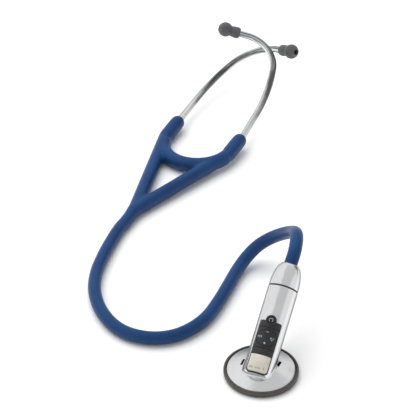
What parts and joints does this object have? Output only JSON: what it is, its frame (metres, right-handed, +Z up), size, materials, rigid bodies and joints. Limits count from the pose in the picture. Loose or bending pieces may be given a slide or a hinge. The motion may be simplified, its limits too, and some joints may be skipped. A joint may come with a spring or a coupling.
{
  "type": "electronic stethoscope",
  "caption": "Electronic stethoscope: round head with inclined barrel, curved keypad and display, blue hose, fork with bridge, crossed steel ear tubes and soft eartips.",
  "frame": {"origin": "centre of the diaphragm's face, on the supporting surface", "axes": "+Z up, +Y from the fork towards the eartips, +X to the right seen from the fork"},
  "size_m": [0.2362, 0.388, 0.0671],
  "materials": {
    "silver": "satin silver",
    "rim_rubber": "matte",
    "membrane": "smooth",
    "foam": "open cell",
    "brass": "plated",
    "black_plastic": "fine texture",
    "panel_black": "fine texture",
    "key_black": "semi-gloss",
    "pad_rubber": "soft matte",
    "steel": "brushed",
    "white_plastic": "plain",
    "window": "clear over pale display",
    "lcd": "smooth",
    "board": "solder mask",
    "cell": "printed sleeve",
    "hose_rubber": "satin",
    "tube_steel": "polished",
    "eartip_grey": "soft matte"
  },
  "bodies": {
    "headset": {"yoke_body": "hose_rubber", "binaural_spring": "steel", "hose": "hose_rubber", "dome_cap": "silver", "swivel_stem": "steel"},
    "left_binaural": {"yoke_sleeve_left": "hose_rubber", "ear_tube_left": "tube_steel"},
    "right_binaural": {"yoke_sleeve_right": "hose_rubber", "ear_tube_right": "tube_steel"},
    "left_eartip": {"eartip_left": "eartip_grey"},
    "right_eartip": {"eartip_right": "eartip_grey"},
    "chestpiece": {"housing": "silver", "rim_ring": "rim_rubber", "diaphragm": "membrane", "sensor_foam": "foam", "sensor_disc": "brass", "head_base": "black_plastic", "keypad_panel": "panel_black", "keypad_post": "white_plastic", "display_window": "window", "display_module": "lcd", "circuit_board": "board", "battery": "cell", "battery_spring": "steel", "battery_plate": "brass", "speaker": "black_plastic", "swivel_collar": "black_plastic", "seam_gasket": "rim_rubber"},
    "power_key": {"power_button": "key_black"},
    "pad_gimbal": {"keypad_gimbal": "steel"},
    "pad": {"keypad_pad": "pad_rubber"}
  },
  "joints": [
    {"name": "left_ear_tube_opens", "type": "hinge", "parent": "headset", "child": "left_binaural", "pos_m": [-0.2025, 0.2245, 0.0062], "axis": [-0.1392, 0, 0.9903], "range_deg": [0, 24], "stiffness_Nm_per_rad": 0.8},
    {"name": "right_ear_tube_opens", "type": "hinge", "parent": "headset", "child": "right_binaural", "pos_m": [-0.143, 0.2235, 0.0085], "axis": [0.1392, 0, -0.9903], "range_deg": [0, 24], "stiffness_Nm_per_rad": 0.8},
    {"name": "left_eartip_turns", "type": "hinge", "parent": "left_binaural", "child": "left_eartip", "pos_m": [-0.15841, 0.35432, 0.03388], "axis": [0.9011, -0.301, 0.312], "continuous": true},
    {"name": "right_eartip_turns", "type": "hinge", "parent": "right_binaural", "child": "right_eartip", "pos_m": [-0.18997, 0.33745, 0.05075], "axis": [-0.8762, -0.3891, 0.2844], "continuous": true},
    {"name": "head_turns_in_dome", "type": "hinge", "parent": "headset", "child": "chestpiece", "pos_m": [0, 0, 0.0114], "axis": [-0.0998, 0.813, 0.5736], "range_deg": [-90, 90]},
    {"name": "power_button_press", "type": "slide", "parent": "chestpiece", "child": "power_key", "axis": [-0.1733, 0.5534, -0.8147], "range_m": [0, 0.0006], "stiffness_N_per_m": 600},
    {"name": "pad_tilts_up_down", "type": "hinge", "parent": "chestpiece", "child": "pad_gimbal", "pos_m": [0.00002, 0.00754, 0.02756], "axis": [0.9798, 0.1807, -0.0856], "range_deg": [-3, 3], "stiffness_Nm_per_rad": 0.05},
    {"name": "pad_tilts_left_right", "type": "hinge", "parent": "pad_gimbal", "child": "pad", "pos_m": [0.00002, 0.00754, 0.02756], "axis": [-0.0998, 0.813, 0.5736], "range_deg": [-3, 3], "stiffness_Nm_per_rad": 0.05}
  ]
}
